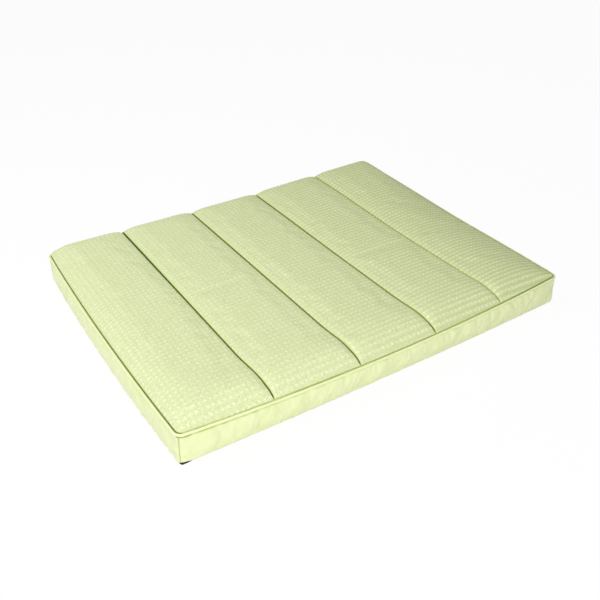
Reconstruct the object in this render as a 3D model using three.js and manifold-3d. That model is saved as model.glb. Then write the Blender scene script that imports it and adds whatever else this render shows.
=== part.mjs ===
// A quilted cooling mat: a boxed cushion about 65 x 50 x 6 cm.
// Its zipped cover has a quilted cooling top in five channels, a corded edge, four side bands and a
// non-slip base. Inside lie a foam core and a sealed gel pouch with one chamber under each channel.
// Millimetres. +X runs along the long side, +Y to the back with the zip, +Z up from the floor.
import * as THREE from "three";
import { mergeVertices } from "three/addons/utils/BufferGeometryUtils.js";
import Module from "manifold-3d";

// Driving dimensions
const matLength = 650;
const matDepth = 500;
const cornerRadius = 12;
const frontBow = 12; // how far the stuffed front edge bulges out at its middle
const frontBaseBow = 4; // the same along the base, which the stuffing pushes out less
const endBow = 5; // the same at the two short ends; the zipped back stays straight
const bandHeight = 42;
const bandBulge = 2.5;
const fabricThickness = 1.2;
const baseThickness = 1.6;
const gelThickness = 7;
const waddingThickness = 9;
const channelCount = 5;
const channelCrown = 7; // how far a quilting seam is drawn in below its channels
const edgeRoll = 40; // width over which the top rolls down to the corded edge
const zipInset = 75; // from each short side to the zip's end

// Thin layers and fits
const bandThickness = 1.5;
const filmThickness = 0.6;
const backingThickness = 0.8;
const seatGap = 0.3;

// Corded edge
const pipingRadius = 1.8;
const pipingPly = 0.6;
const pipingSetback = 0.9; // from the band's outer face in to the cord's centre
const pipingTail = 9; // how far the seam allowance reaches in from the band's outer face
const tailSlit = 0.4;

// Zip, measured outward from the back band's outer face
const zipHeight = 23;
const zipOpening = 10;
const zipTapeWidth = 12;
const zipTapeThickness = 0.8;
const zipTapeUnderlap = 6;
const rowWidth = 2.6;
const rowThickness = 2;
const rowSpacing = 1.2;
const rowInset = 10; // from the zip's end to the end of its teeth
const stopLength = 3;
const sliderLength = 11;
const sliderPlate = 1.1;
const sliderWall = 0.8;
const sliderPost = 0.7;
const sliderPostLength = 4;
const archWidth = 2;
const archLength = 6.6;
const archThickness = 0.9;
const archOpening = 1.7;
const pullLength = 24;
const pullWidth = 7;
const pullThickness = 1.2;
const pullLeg = 1;
const pullWindow = 5;
const pullClearance = 0.3;
const pullBarSides = 12;

// Stitching
const threadWidth = 1;
const threadHeight = 0.8;

// Shapes, as shares of the sizes that they follow
const rollPower = 2.5;
const crownPower = 3.5;
const chamberPower = 6;
const chamberRoll = 25;
const channelShares = [0.04, 0.16, 0.34, 0.5, 0.66, 0.84, 0.96];
const bulgeShares = [0, 0.25, 0.5, 0.75, 1];
const cornerSteps = 6;
const frontSteps = 10;
const endSteps = 8;
const pipingSteps = 6;
const cordSides = 8;

// Heights worked out from the stack of layers
const bandBottom = baseThickness + seatGap;
const bandTop = bandBottom + bandHeight;
const foamBottom = baseThickness + seatGap;
const foamTop = bandTop;
const lowerFilmBottom = foamTop + seatGap;
const lowerFilmTop = lowerFilmBottom + filmThickness;
const gelBottom = lowerFilmTop + seatGap;
const chamberTop = gelBottom + gelThickness + seatGap;
const backingBottom = chamberTop + filmThickness + seatGap;
const waddingBottom = backingBottom + backingThickness + seatGap;
const crownTop = waddingBottom + waddingThickness + seatGap + fabricThickness;
const pipingHeight = bandTop + seatGap + pipingRadius;
const tailHalf = pipingPly + tailSlit / 2;
const rimTop = pipingHeight + tailHalf + seatGap + fabricThickness;
const rimInset = pipingSetback + pipingRadius + seatGap;

const halfLength = matLength / 2;
const halfDepth = matDepth / 2;
const zipHalf = halfLength - zipInset;

// Materials
const material = (color, roughness, metalness = 0) =>
  new THREE.MeshStandardMaterial({ color, roughness, metalness });
const coolingFabric = material("#d8e2b4", 0.85);
const bandFabric = material("#dfebae", 0.7);
const baseFabric = material("#17181a", 0.9);
const cottonCord = material("#efece0", 0.9);
const polyesterFoam = material("#f2eedc", 0.95);
const clearFilm = material("#dfe9ee", 0.3);
const coolingGel = material("#7fb9d6", 0.2);
const whiteFleece = material("#f6f6f2", 0.95);
const sewingThread = material("#5d7034", 0.7);
const zipTapeWeave = material("#c3d58c", 0.8);
const nylonCoil = material("#b4c67c", 0.4);
const paintedZinc = material("#a9bd70", 0.35, 0.6);

const model = new THREE.Group();

function add(name, geometry, finish) {
  const mesh = new THREE.Mesh(geometry, finish);
  mesh.name = name;
  model.add(mesh);
  return mesh;
}

// The mat's outline as stations: a place on the bands' outer face at their top, which way is out,
// and how far the band leans in from there down to the base.
const corners = [
  { x: halfLength, y: -halfDepth, from: -Math.PI / 2 },
  { x: halfLength, y: halfDepth, from: 0 },
  { x: -halfLength, y: halfDepth, from: Math.PI / 2 },
  { x: -halfLength, y: -halfDepth, from: Math.PI },
];
const [frontRight, backRight, backLeft, frontLeft] = corners;

function cornerStations(corner, fromShare, toShare, steps) {
  const centreX = corner.x - Math.sign(corner.x) * cornerRadius;
  const centreY = corner.y - Math.sign(corner.y) * cornerRadius;
  return Array.from({ length: steps + 1 }, (_, i) => {
    const share = fromShare + ((toShare - fromShare) * i) / steps;
    const angle = corner.from + (share * Math.PI) / 2;
    const out = new THREE.Vector2(Math.cos(angle), Math.sin(angle));
    return { x: centreX + out.x * cornerRadius, y: centreY + out.y * cornerRadius, out, lean: 0 };
  });
}

const bowAt = (bow, share) => bow * (1 - share * share);

function sideStations(outX, outY, bow, baseBow, steps, fromShare = -1, toShare = 1) {
  const reach = outX ? halfDepth - cornerRadius : halfLength - cornerRadius;
  const face = outX ? halfLength : halfDepth;
  return Array.from({ length: steps + 1 }, (_, i) => {
    const share = fromShare + ((toShare - fromShare) * i) / steps;
    const away = face + bowAt(bow, share);
    const along = share * reach;
    return {
      x: outX * away - outY * along,
      y: outY * away + outX * along,
      out: new THREE.Vector2(outX, outY),
      lean: bowAt(bow - baseBow, share),
    };
  });
}

const frontSide = sideStations(0, -1, frontBow, frontBaseBow, frontSteps);
const rightSide = sideStations(1, 0, endBow, endBow, endSteps);
const backSide = sideStations(0, 1, 0, 0, 1);
const leftSide = sideStations(-1, 0, endBow, endBow, endSteps);
const wholeCorner = (corner) => cornerStations(corner, 0, 1, cornerSteps).slice(1, -1);
const outline = [
  ...frontSide,
  ...wholeCorner(frontRight),
  ...rightSide,
  ...wholeCorner(backRight),
  ...backSide,
  ...wholeCorner(backLeft),
  ...leftSide,
  ...wholeCorner(frontLeft),
];

function geometryOf(vertices, indices) {
  const geometry = new THREE.BufferGeometry();
  geometry.setAttribute("position", new THREE.Float32BufferAttribute(vertices, 3));
  geometry.setIndex(indices);
  geometry.computeVertexNormals();
  return geometry;
}

// A point of the outline, moved out by a distance, at a height: below the bands' top it leans in.
function outlinePoint(station, outward, height) {
  const shareUp = Math.min(1, Math.max(0, (height - bandBottom) / bandHeight));
  const away = outward - station.lean * (1 - shareUp);
  return [station.x + station.out.x * away, station.y + station.out.y * away, height];
}

// Sweeps a section of [outward, height] points, anticlockwise, along stations.
function sweep(stations, section, closed) {
  const vertices = stations.flatMap((station) =>
    section.flatMap(([outward, height]) => outlinePoint(station, outward, height)),
  );
  const indices = [];
  const count = section.length;
  const spans = closed ? stations.length : stations.length - 1;
  for (let i = 0; i < spans; i++) {
    const here = i * count;
    const next = ((i + 1) % stations.length) * count;
    for (let j = 0; j < count; j++) {
      const k = (j + 1) % count;
      indices.push(here + j, next + j, next + k, here + j, next + k, here + k);
    }
  }
  if (!closed) {
    const flat = section.map(([outward, height]) => new THREE.Vector2(outward, height));
    const last = (stations.length - 1) * count;
    for (const [a, b, c] of THREE.ShapeUtils.triangulateShape(flat, []))
      indices.push(a, b, c, last + a, last + c, last + b);
  }
  return geometryOf(vertices, indices);
}

// A solid between two rings of as many [x, y, z] points each, anticlockwise seen from above.
function between(bottomRing, topRing) {
  const count = bottomRing.length;
  const indices = [];
  for (let i = 0; i < count; i++) {
    const next = (i + 1) % count;
    indices.push(i, next, count + next, i, count + next, count + i);
  }
  const flat = bottomRing.map(([x, y]) => new THREE.Vector2(x, y));
  for (const [a, b, c] of THREE.ShapeUtils.triangulateShape(flat, []))
    indices.push(a, c, b, count + a, count + b, count + c);
  return geometryOf([...bottomRing.flat(), ...topRing.flat()], indices);
}

const filledOutline = (insetOf, bottom, top) =>
  between(
    outline.map((station) => outlinePoint(station, -insetOf(station), bottom)),
    outline.map((station) => outlinePoint(station, -insetOf(station), top)),
  );

function box(fromX, toX, fromY, toY, fromZ, toZ) {
  const geometry = new THREE.BoxGeometry(toX - fromX, toY - fromY, toZ - fromZ);
  return geometry.translate((fromX + toX) / 2, (fromY + toY) / 2, (fromZ + toZ) / 2);
}

// The quilt's plan grid, shared by every layer, so that the layers lie parallel
const channelWidth = matLength / channelCount;
const gridHalf = halfLength - rimInset;
const gridRadius = cornerRadius - rimInset;
const seamXs = Array.from({ length: channelCount - 1 }, (_, i) => (i + 1) * channelWidth - halfLength);
const lastSeam = seamXs[seamXs.length - 1];
const endWidth = gridHalf - lastSeam;
const edgeShares = [0, 0.14, 0.44];
const endShares = [0.26, 0.5, 0.84, 0.96];
const endInsets = [
  ...edgeShares.map((share) => share * gridRadius),
  gridRadius,
  ...endShares.map((share) => share * endWidth),
];
const leftXs = endInsets.map((inset) => inset - gridHalf);
const innerXs = seamXs
  .slice(0, -1)
  .flatMap((seam) => [seam, ...channelShares.map((share) => seam + share * channelWidth)]);
const columnXs = [...leftXs, ...innerXs, lastSeam, ...leftXs.map((x) => -x).reverse()];
const rollShares = [0.1, 0.3, 0.55, 1];
const rowInsets = [0, ...rollShares.map((share) => share * edgeRoll), halfDepth / 2];
const rowCount = rowInsets.length * 2 + 1;

// Distance from the long edges' straight line to the rim at a column, in the corners' round part
function cornerDrop(x) {
  const past = Math.abs(x) - (gridHalf - gridRadius);
  return past > 0 ? gridRadius - Math.sqrt(Math.max(0, gridRadius ** 2 - past ** 2)) : 0;
}

function gridPoint(column, row) {
  const x = columnXs[column];
  const straight = halfLength - cornerRadius;
  const bow = bowAt(frontBow, Math.min(1, Math.abs(x) / straight));
  const front = -(halfDepth - rimInset) - bow + cornerDrop(x);
  const back = halfDepth - rimInset - cornerDrop(x);
  const middle = rowInsets.length;
  let y = (front + back) / 2;
  if (row < middle) y = front + rowInsets[row];
  if (row > middle) y = back - rowInsets[rowCount - 1 - row];
  const outShare = Math.max(0, (Math.abs(x) - lastSeam) / endWidth);
  const endShare = Math.min(1, Math.abs(y) / (halfDepth - cornerRadius));
  return { x: x + Math.sign(x) * outShare * bowAt(endBow, endShare), y };
}

const rise = (inset, width, power) => 1 - (1 - Math.min(1, inset / width)) ** power;
const columnInset = (column) => gridHalf - Math.abs(columnXs[column]);
const rowInsetAt = (row) =>
  row === rowInsets.length ? halfDepth - rimInset : rowInsets[Math.min(row, rowCount - 1 - row)];

// Both edges' rise together: 0 on the rim that starts at two insets, 1 on the flat middle
function edgeRise(column, row, width, columnStart = 0, rowStart = 0) {
  const across = rise(Math.max(0, columnInset(column) - columnStart), width, rollPower);
  const along = rise(Math.max(0, rowInsetAt(row) - rowStart), width, rollPower);
  const both = across + along - across * along;
  return both > 0 ? (across * along) / both : 0;
}

// 0 in the middle of a channel, 1 on its seams; the end channels have a seam on one side only
function seamNear(column) {
  const x = columnXs[column];
  if (Math.abs(x) > halfLength - channelWidth / 2) return 0;
  const offset = (x + halfLength) / channelWidth;
  return Math.abs(2 * (offset - Math.floor(offset)) - 1);
}

const topUpper = (column, row) =>
  rimTop +
  edgeRise(column, row, edgeRoll) * (crownTop - rimTop - channelCrown * seamNear(column) ** crownPower);
const topLower = (column, row) => topUpper(column, row) - fabricThickness;
const waddingUpper = (column, row) => topLower(column, row) - seatGap;
const waddingLower = (column, row) =>
  waddingUpper(column, row) -
  waddingThickness * edgeRise(column, row, edgeRoll) * (1 - seamNear(column) ** crownPower);
const backingUpper = (column, row) => waddingLower(column, row) - seatGap;
const backingLower = (column, row) => backingUpper(column, row) - backingThickness;

// The layers below the top start this many grid lines in, clear of the corded edge's allowances
const innerRow = 2;
const innerColumn = 3;

// The pouch's chambers rise from its welded rim
const chamberRise = (column, row) =>
  edgeRise(column, row, chamberRoll, endInsets[innerColumn], rowInsets[innerRow]) *
  (1 - seamNear(column) ** chamberPower);
const upperFilmLower = (column, row) => gelBottom + (chamberTop - gelBottom) * chamberRise(column, row);
const upperFilmUpper = (column, row) => upperFilmLower(column, row) + filmThickness;
const gelUpper = (column, row) => upperFilmLower(column, row) - seatGap;

// A closed body between two height fields over a range of the grid
function layer(columns, rows, lower, upper, place = gridPoint) {
  const [firstColumn, lastColumn] = columns;
  const [firstRow, lastRow] = rows;
  const across = lastColumn - firstColumn + 1;
  const along = lastRow - firstRow + 1;
  const sheet = across * along;
  const vertices = [];
  const indices = [];
  for (const height of [lower, upper])
    for (let row = firstRow; row <= lastRow; row++)
      for (let column = firstColumn; column <= lastColumn; column++) {
        const { x, y } = place(column, row);
        vertices.push(x, y, height(column, row));
      }
  for (let j = 0; j < along - 1; j++)
    for (let i = 0; i < across - 1; i++) {
      const a = j * across + i;
      const b = a + 1;
      const c = a + across + 1;
      const d = a + across;
      indices.push(a, c, b, a, d, c);
      indices.push(sheet + a, sheet + b, sheet + c, sheet + a, sheet + c, sheet + d);
    }
  const wall = (a, b) => indices.push(a, b, sheet + b, a, sheet + b, sheet + a);
  for (let i = 0; i < across - 1; i++) {
    wall(i, i + 1);
    wall(sheet - 1 - i, sheet - 2 - i);
  }
  for (let j = 0; j < along - 1; j++) {
    wall((j + 1) * across - 1, (j + 2) * across - 1);
    wall((along - 1 - j) * across, (along - 2 - j) * across);
  }
  return geometryOf(vertices, indices);
}

const lastGridColumn = columnXs.length - 1;
const lastGridRow = rowCount - 1;
const seamColumns = seamXs.map((seam) => columnXs.indexOf(seam));

// Quilted top: cooling fabric, backing, wadding strips and the seams' thread
add("top_panel", layer([0, lastGridColumn], [0, lastGridRow], topLower, topUpper), coolingFabric);

const innerColumns = [innerColumn, lastGridColumn - innerColumn];
const innerRows = [innerRow, lastGridRow - innerRow];
add("quilt_backing", layer(innerColumns, innerRows, backingLower, backingUpper), whiteFleece);

// The grid columns that a channel's filling spans, from a line in from each end to its seams
function channelColumns(channel, endColumn) {
  const ends = [endColumn, ...seamColumns, lastGridColumn - endColumn];
  const from = ends[channel] + (channel > 0 ? 1 : 0);
  const to = ends[channel + 1] - (channel < channelCount - 1 ? 1 : 0);
  return [from, to];
}

for (let k = 0; k < channelCount; k++) {
  const strip = layer(channelColumns(k, innerColumn), innerRows, waddingLower, waddingUpper);
  add(`wadding_strip_${k + 1}`, strip, whiteFleece);
}

seamColumns.forEach((seam, k) => {
  const beside = (column, row) => ({
    x: columnXs[seam] + (column - seam) * (threadWidth / 2),
    y: gridPoint(seam, row).y,
  });
  const bottom = (column, row) => topUpper(seam, row) + seatGap;
  const top = (column, row) => bottom(column, row) + threadHeight;
  add(
    `quilting_thread_${k + 1}`,
    layer([seam - 1, seam + 1], [1, lastGridRow - 1], bottom, top, beside),
    sewingThread,
  );
});

// Gel pouch: two films welded round the edge and between the chambers, and the gel in each chamber
const flatAt = (height) => () => height;
function gridBorder([firstColumn, lastColumn], [firstRow, lastRow], height) {
  const ring = [];
  for (let column = firstColumn; column < lastColumn; column++) ring.push([column, firstRow]);
  for (let row = firstRow; row < lastRow; row++) ring.push([lastColumn, row]);
  for (let column = lastColumn; column > firstColumn; column--) ring.push([column, lastRow]);
  for (let row = lastRow; row > firstRow; row--) ring.push([firstColumn, row]);
  return ring.map(([column, row]) => [gridPoint(column, row).x, gridPoint(column, row).y, height]);
}
const pouchBorder = (height) => gridBorder(innerColumns, innerRows, height);
add("gel_pouch_lower_film", between(pouchBorder(lowerFilmBottom), pouchBorder(lowerFilmTop)), clearFilm);
add("gel_pouch_upper_film", layer(innerColumns, innerRows, upperFilmLower, upperFilmUpper), clearFilm);
const gelRows = [innerRow + 1, lastGridRow - innerRow - 1];
for (let k = 0; k < channelCount; k++) {
  const gel = layer(channelColumns(k, innerColumn + 1), gelRows, flatAt(gelBottom), gelUpper);
  add(`gel_chamber_${k + 1}`, gel, coolingGel);
}

// Foam core, kept clear of the zip slider's inner plate at the back
const zipInner = bandThickness + seatGap + zipTapeThickness + seatGap + sliderPlate;
const foamInset = (station) =>
  bandThickness + seatGap + Math.max(0, station.out.y) * (zipInner - bandThickness);
add("foam_core", filledOutline(foamInset, foamBottom, foamTop), polyesterFoam);

// Non-slip base
add("base_panel", filledOutline(flatAt(0), 0, baseThickness), baseFabric);

// Corded edge: a folded strip round a cord, with its two allowances reaching in under the top
const arcPoint = (radius, angle) => [
  -pipingSetback + radius * Math.cos(angle),
  pipingHeight + radius * Math.sin(angle),
];
const foldFrom = (radius, half) => Math.PI - Math.asin(half / radius);
const pipingBore = pipingRadius - pipingPly;
const coverSection = [];
const outerStart = foldFrom(pipingRadius, tailHalf);
const innerStart = foldFrom(pipingBore, tailSlit / 2);
for (let i = 0; i <= pipingSteps; i++) {
  coverSection.push(arcPoint(pipingRadius, -outerStart + (2 * outerStart * i) / pipingSteps));
}
coverSection.push([-pipingTail, pipingHeight + tailHalf]);
coverSection.push([-pipingTail, pipingHeight + tailSlit / 2]);
for (let i = 0; i <= pipingSteps; i++) {
  coverSection.push(arcPoint(pipingBore, innerStart - (2 * innerStart * i) / pipingSteps));
}
coverSection.push([-pipingTail, pipingHeight - tailSlit / 2]);
coverSection.push([-pipingTail, pipingHeight - tailHalf]);
add("piping_cover", sweep(outline, coverSection, true), bandFabric);

const cordRadius = pipingBore * Math.cos(Math.PI / (2 * pipingSteps)) - seatGap;
const cordSection = Array.from({ length: cordSides }, (_, i) =>
  arcPoint(cordRadius, (2 * Math.PI * i) / cordSides),
);
add("piping_cord", sweep(outline, cordSection, true), cottonCord);

// Side bands, joined by an upright seam at each corner
const bandSection = (bulge, bottom, top) => {
  const face = (setback) =>
    bulgeShares.map((share) => [
      bulge * Math.sin(share * Math.PI) - setback,
      bottom + share * (top - bottom),
    ]);
  return [...face(0), ...face(bandThickness).reverse()];
};
const cornerGapShare = seatGap / (Math.PI * cornerRadius);
const halfCorner = cornerSteps / 2;
const cornerEnd = (corner) => cornerStations(corner, 0, 0.5 - cornerGapShare, halfCorner).slice(1);
const cornerStart = (corner) => cornerStations(corner, 0.5 + cornerGapShare, 1, halfCorner).slice(0, -1);
const bulgedBand = bandSection(bandBulge, bandBottom, bandTop);
const band = (name, before, side, after) =>
  add(name, sweep([...cornerStart(before), ...side, ...cornerEnd(after)], bulgedBand, false), bandFabric);
band("front_band", frontLeft, frontSide, frontRight);
band("right_band", frontRight, rightSide, backRight);
band("left_band", backLeft, leftSide, frontLeft);

// Back band: two end pieces, and two strips with the zip between them
const flatBand = bandSection(0, bandBottom, bandTop);
const straightHalf = halfLength - cornerRadius;
const zipShare = (zipHalf + seatGap) / straightHalf;
add(
  "back_band_right_end",
  sweep([...cornerStart(backRight), ...sideStations(0, 1, 0, 0, 1, -1, -zipShare)], flatBand, false),
  bandFabric,
);
add(
  "back_band_left_end",
  sweep([...sideStations(0, 1, 0, 0, 1, zipShare, 1), ...cornerEnd(backLeft)], flatBand, false),
  bandFabric,
);
const outFrom = (outward) => halfDepth + outward;
const stripBox = (from, to) => box(-zipHalf, zipHalf, outFrom(-bandThickness), outFrom(0), from, to);
add("back_band_upper", stripBox(zipHeight + zipOpening / 2, bandTop), bandFabric);
add("back_band_lower", stripBox(bandBottom, zipHeight - zipOpening / 2), bandFabric);

// Zip: tapes behind the band, rows of teeth on their outer faces, stops at both ends
const tapeOuter = -bandThickness - seatGap;
const rowInner = tapeOuter + seatGap;
const rowOuter = rowInner + rowThickness;
const tapeHalf = zipHalf + zipTapeUnderlap;
const rowHalf = zipHalf - rowInset;
const rowEdge = rowSpacing / 2;
const besideZip = (side, near, far) =>
  side > 0 ? [zipHeight + near, zipHeight + far] : [zipHeight - far, zipHeight - near];
for (const [side, label] of [
  [1, "upper"],
  [-1, "lower"],
]) {
  const tape = [-tapeHalf, tapeHalf, outFrom(tapeOuter - zipTapeThickness), outFrom(tapeOuter)];
  add(`zip_tape_${label}`, box(...tape, ...besideZip(side, rowEdge, zipTapeWidth)), zipTapeWeave);
  const teeth = [-rowHalf, rowHalf, outFrom(rowInner), outFrom(rowOuter)];
  add(`zip_teeth_${label}`, box(...teeth, ...besideZip(side, rowEdge, rowEdge + rowWidth)), nylonCoil);
  const stop = [rowHalf + seatGap, rowHalf + seatGap + stopLength, outFrom(rowInner), outFrom(rowOuter)];
  add(`zip_top_stop_${label}`, box(...stop, ...besideZip(side, rowEdge, rowEdge + rowWidth)), paintedZinc);
}
add(
  "zip_bottom_stop",
  box(
    -rowHalf - seatGap - stopLength,
    -rowHalf - seatGap,
    outFrom(rowInner),
    outFrom(rowOuter),
    zipHeight - rowEdge - rowWidth,
    zipHeight + rowEdge + rowWidth,
  ),
  paintedZinc,
);

// Solids joined with manifold-3d
const wasm = await Module();
wasm.setup();

function solid(geometry) {
  const bare = geometry.clone();
  bare.deleteAttribute("normal");
  bare.deleteAttribute("uv");
  const merged = mergeVertices(bare);
  return new wasm.Manifold(
    new wasm.Mesh({
      numProp: 3,
      vertProperties: new Float32Array(merged.attributes.position.array),
      triVerts: new Uint32Array(merged.index.array),
    }),
  );
}

function joined(geometries) {
  const body = geometries.map(solid).reduce((whole, piece) => whole.add(piece));
  const { numProp, vertProperties, triVerts } = body.getMesh();
  const vertices = [];
  for (let i = 0; i < vertProperties.length; i += numProp) vertices.push(...vertProperties.slice(i, i + 3));
  return geometryOf(vertices, [...triVerts]);
}

// Slider at the closed end: two plates joined by a post between the rows, and an arch for the pull
const sliderX = rowHalf - sliderLength / 2 - pullClearance;
const sliderHalf = sliderLength / 2;
const plateInner = rowOuter + seatGap;
const plateOuter = plateInner + sliderPlate;
const sliderInner = tapeOuter - zipTapeThickness - seatGap;
const wallInner = rowEdge + rowWidth + seatGap;
const sliderSide = wallInner + sliderWall;
const archTop = plateOuter + archOpening + archThickness;
const atSlider = (fromX, toX, from, to, fromZ, toZ) =>
  box(sliderX + fromX, sliderX + toX, outFrom(from), outFrom(to), zipHeight + fromZ, zipHeight + toZ);
const archHalf = archLength / 2;
const archSide = archWidth / 2;
add(
  "zip_slider",
  joined([
    atSlider(-sliderHalf, sliderHalf, plateInner, plateOuter, -sliderSide, sliderSide),
    atSlider(-sliderHalf, sliderHalf, rowInner + seatGap, plateOuter, wallInner, sliderSide),
    atSlider(-sliderHalf, sliderHalf, rowInner + seatGap, plateOuter, -sliderSide, -wallInner),
    atSlider(-sliderHalf, sliderHalf, sliderInner - sliderPlate, sliderInner, -sliderSide, sliderSide),
    atSlider(
      sliderHalf - sliderPostLength,
      sliderHalf,
      sliderInner - sliderPlate,
      plateOuter,
      -sliderPost / 2,
      sliderPost / 2,
    ),
    atSlider(-archHalf, archThickness - archHalf, plateInner, archTop, -archSide, archSide),
    atSlider(archHalf - archThickness, archHalf, plateInner, archTop, -archSide, archSide),
    atSlider(-archHalf, archHalf, archTop - archThickness, archTop, -archSide, archSide),
  ]),
  paintedZinc,
);

// Pull: a bar under the arch, two legs beside it and a tab, laid back over the closed teeth
const pullAxis = plateOuter + archOpening / 2;
const legInner = archSide + pullClearance;
const legOuter = legInner + pullLeg;
const pullHalf = pullThickness / 2;
const pullPiece = (fromX, toX, fromZ, toZ) =>
  atSlider(fromX, toX, pullAxis - pullHalf, pullAxis + pullHalf, fromZ, toZ);
const pullBar = new THREE.CylinderGeometry(pullHalf, pullHalf, 2 * legOuter, pullBarSides)
  .rotateX(Math.PI / 2)
  .translate(sliderX, outFrom(pullAxis), zipHeight);
add(
  "zip_pull",
  joined([
    pullBar,
    pullPiece(-pullWindow - pullLeg, 0, legInner, legOuter),
    pullPiece(-pullWindow - pullLeg, 0, -legOuter, -legInner),
    pullPiece(-pullLength, -pullWindow, -pullWidth / 2, pullWidth / 2),
  ]),
  paintedZinc,
);

export default model;
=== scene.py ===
"""Looks of a quilted cooling mat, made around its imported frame. Lengths are in metres.

The mat lies with its long side along X and its zip at the back. Each cloth piece is a closed shell of
its real thickness, laid over the same outline, so that the pieces meet at their seams.
"""

import math

import bmesh
import bpy
import numpy as np
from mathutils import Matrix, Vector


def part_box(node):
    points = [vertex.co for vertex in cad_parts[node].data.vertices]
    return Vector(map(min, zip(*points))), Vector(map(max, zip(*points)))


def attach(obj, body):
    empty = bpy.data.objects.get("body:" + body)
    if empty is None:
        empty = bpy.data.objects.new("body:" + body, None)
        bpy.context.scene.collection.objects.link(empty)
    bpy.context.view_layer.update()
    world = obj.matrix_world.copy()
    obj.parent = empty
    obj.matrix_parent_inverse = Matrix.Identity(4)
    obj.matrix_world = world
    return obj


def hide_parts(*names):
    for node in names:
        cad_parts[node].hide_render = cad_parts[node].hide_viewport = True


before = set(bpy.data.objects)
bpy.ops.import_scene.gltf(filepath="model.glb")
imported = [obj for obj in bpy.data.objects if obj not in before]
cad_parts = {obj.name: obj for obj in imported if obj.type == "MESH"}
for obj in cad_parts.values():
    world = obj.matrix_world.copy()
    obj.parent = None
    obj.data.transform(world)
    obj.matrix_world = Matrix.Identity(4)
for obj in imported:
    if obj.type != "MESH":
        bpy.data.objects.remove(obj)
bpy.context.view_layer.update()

MM = 0.001

# Sizes read from the frame
base_low, base_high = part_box("base_panel")
top_low, top_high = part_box("top_panel")
band_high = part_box("front_band")[1]
piping_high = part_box("piping_cover")[1]
upper_low, upper_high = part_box("back_band_upper")
lower_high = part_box("back_band_lower")[1]
foam_low, foam_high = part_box("foam_core")
film_low, film_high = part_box("gel_pouch_lower_film")
film_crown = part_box("gel_pouch_upper_film")[1]
gel_low, gel_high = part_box("gel_chamber_1")
threads = [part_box(f"quilting_thread_{k}") for k in (1, 2, 3, 4)]
seam_xs = [(low.x + high.x) / 2 for low, high in threads]

# Sizes of the outline, the same as the frame's
end_bow = 5 * MM
front_bow = 12 * MM
front_base_bow = 4 * MM
half_length = base_high.x - end_bow
half_depth = upper_high.y
corner_radius = 12 * MM
base_corner_radius = 7 * MM
band_bottom = 0.5 * MM
band_top = band_high.z
band_tall = band_top - band_bottom
band_thickness = 1.5 * MM
band_bulge = 2.4 * MM
fabric_thickness = 1.2 * MM
seat_gap = 0.3 * MM
front_sag = 2.2 * MM
piping_radius = 1.8 * MM
piping_ply = 0.6 * MM
piping_setback = 0.9 * MM
piping_tail = 9 * MM
piping_height = piping_high.z - piping_radius
rim_top = top_low.z + fabric_thickness
crown_top = top_high.z - 0.5 * MM
rim_inset = piping_setback + piping_radius + 0.1 * MM
zip_half = upper_high.x
cast_rounding = 0.22 * MM

# Sizes of the quilting, as seen in the photograph
channel_width = 2 * half_length / (len(seam_xs) + 1)
seam_depth_front, seam_depth_back = 3.8 * MM, 6.0 * MM
front_pull_depth, front_pull_inset, front_pull_width = 3.0 * MM, 20 * MM, 16 * MM
edge_roll = 40 * MM
back_roll = 22 * MM
right_roll_front, right_roll_back = 100 * MM, 30 * MM
right_roll_turn = -60 * MM
roll_power = 2.7
roll_join = 1.5
crown_power, crown_power_back = 11, 6
seam_drift, seam_drift_length = 5.5 * MM, 90 * MM
wadding_thickness = 9 * MM
backing_thickness = 0.8 * MM
dot_pitch_x = 7.65 * MM
dot_pitch_y = 8.1 * MM
dot_height = 0.75 * MM
dot_radius = 2.1 * MM
crease_depth = 2.0 * MM
tuck_depth = 0.7 * MM
crease_width = 0.75 * MM

# How deep the quilting lies in shade, and how far that reaches
seam_shade, seam_shade_less_right = 2.1, 1.2
right_from, right_change = 100 * MM, 90 * MM
wider_at_back, wider_at_first_seam = 0.2, 0.35
tuck_shade, tuck_shade_more_left = 0.95, 0.4
tuck_width, tuck_width_more_left = 0.45 * MM, 0.2 * MM
front_shade_less, front_shade_less_left = 0.45, 0.25
end_shade_reach = 3.8 * MM
corner_change = 6 * MM

# The back right corner is stuffed fuller than the rest, above the zip
full_up, full_out = 9 * MM, 3 * MM
full_from_x, full_from_y = -40 * MM, -60 * MM
full_above = upper_low.z

# At the front left corner the bands hang a little short, so that the base shows
short_band = 2.6 * MM
short_reach = 6 * MM

# Where the meshes have extra lines: beside a seam, at the rim, and near a band's ends and edges
beside_seam = np.array([0.45, 1.0, 1.8]) * MM
rim_steps = np.array([0, 0.25, 0.6, 1.3]) * MM
near_end = np.array([0.35, 0.9, 1.8]) * MM
near_edge = np.array([0, 0.4, 1.0, 2.0, 3.5, 5.5, 8, 11, 14, 17, 20]) * MM
under_step = 4

# Waves of the sewn cloth, their size along the edge and their height
pucker_size, pucker_height = 20 * MM, 0.9 * MM
fold_size, deep_fold, usual_fold, slight_fold = 42 * MM, 1.4 * MM, 1.0 * MM, 0.7 * MM
cord_wave = 0.12 * MM

# How the bands turn in at their seams, under the cord, at the base and at the corners, and how far up
# and down their puckers reach
curl_depth, curl_reach = 1.0 * MM, 1.1 * MM
turn_depth, turn_reach = 1.3 * MM, 1.2 * MM
seam_turn_depth, seam_turn_reach = 0.9 * MM, 0.7 * MM
pucker_reach_top, pucker_reach_base, pucker_share_base = 12 * MM, 10 * MM, 0.25
cord_shade_reach = 1.4 * MM
seam_side_shade = 0.3

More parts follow.
